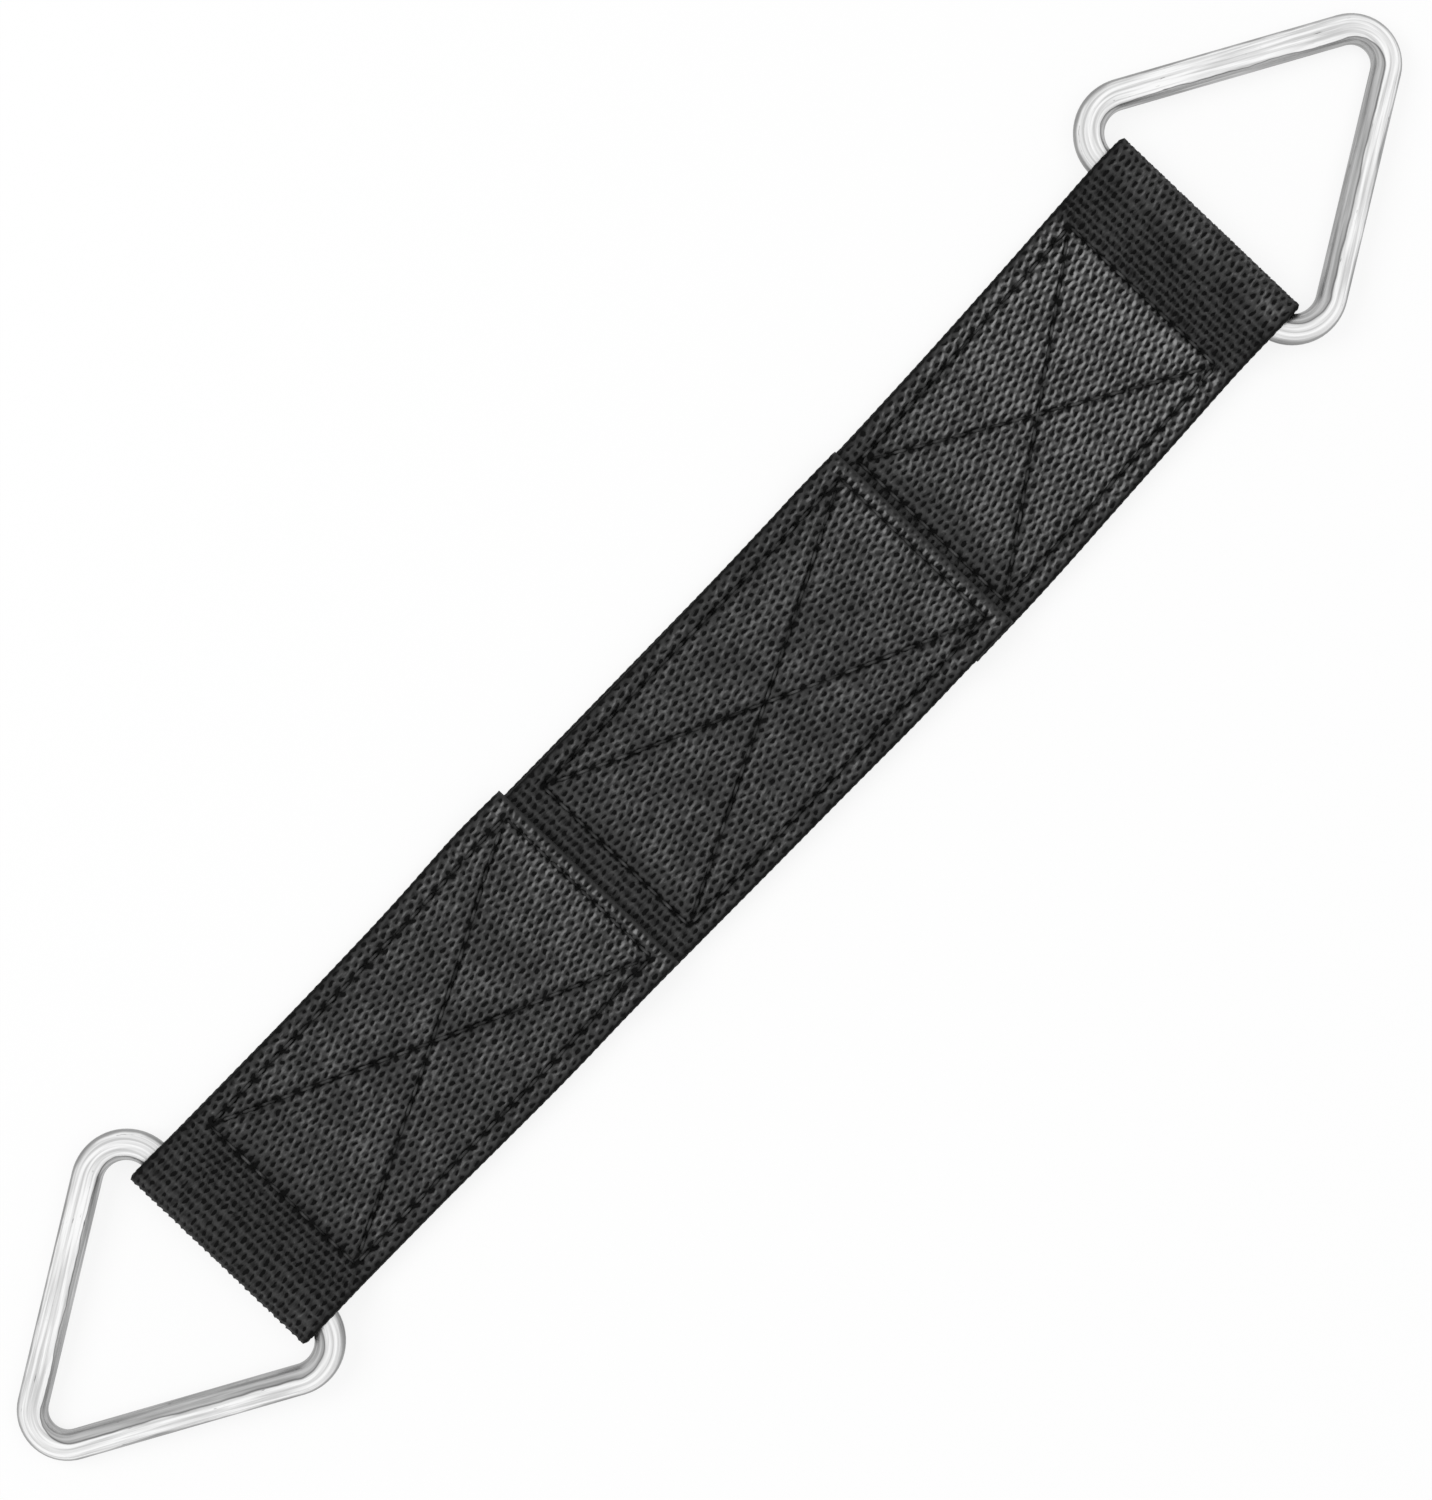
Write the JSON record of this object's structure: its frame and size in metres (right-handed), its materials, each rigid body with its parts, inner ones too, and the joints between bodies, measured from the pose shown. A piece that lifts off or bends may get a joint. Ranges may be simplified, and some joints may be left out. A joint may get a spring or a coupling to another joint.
{
  "type": "punching bag hanger",
  "caption": "Sewn black webbing strap with a steel triangle ring in a sleeve at each end, for hanging a heavy bag.",
  "frame": {"origin": "middle of the strap's length and width, on the surface it lies on", "axes": "+X along the strap towards the upper ring, +Y across the strap, +Z out of the front with the sewn panels"},
  "size_m": [0.4004, 0.0688, 0.011],
  "materials": {
    "ring_steel": "bright zinc plated steel wire",
    "webbing": "plain woven black polyester webbing",
    "thread": "black bonded polyester sewing thread"
  },
  "bodies": {
    "strap": {"main_webbing": "webbing", "middle_webbing": "webbing", "lower_needle_thread": "thread", "middle_needle_thread": "thread", "upper_needle_thread": "thread", "lower_bobbin_thread": "thread", "middle_bobbin_thread": "thread", "upper_bobbin_thread": "thread"},
    "lower_ring_body": {"lower_ring": "ring_steel"},
    "upper_ring_body": {"upper_ring": "ring_steel"}
  },
  "joints": [
    {"name": "lower_ring_swing", "type": "hinge", "parent": "strap", "child": "lower_ring_body", "pos_m": [-0.13965, 0, 0.0055], "axis": [0, 1, 0], "range_deg": [-145, 165]},
    {"name": "upper_ring_swing", "type": "hinge", "parent": "strap", "child": "upper_ring_body", "pos_m": [0.13965, 0, 0.0055], "axis": [0, -1, 0], "range_deg": [-145, 165]}
  ]
}
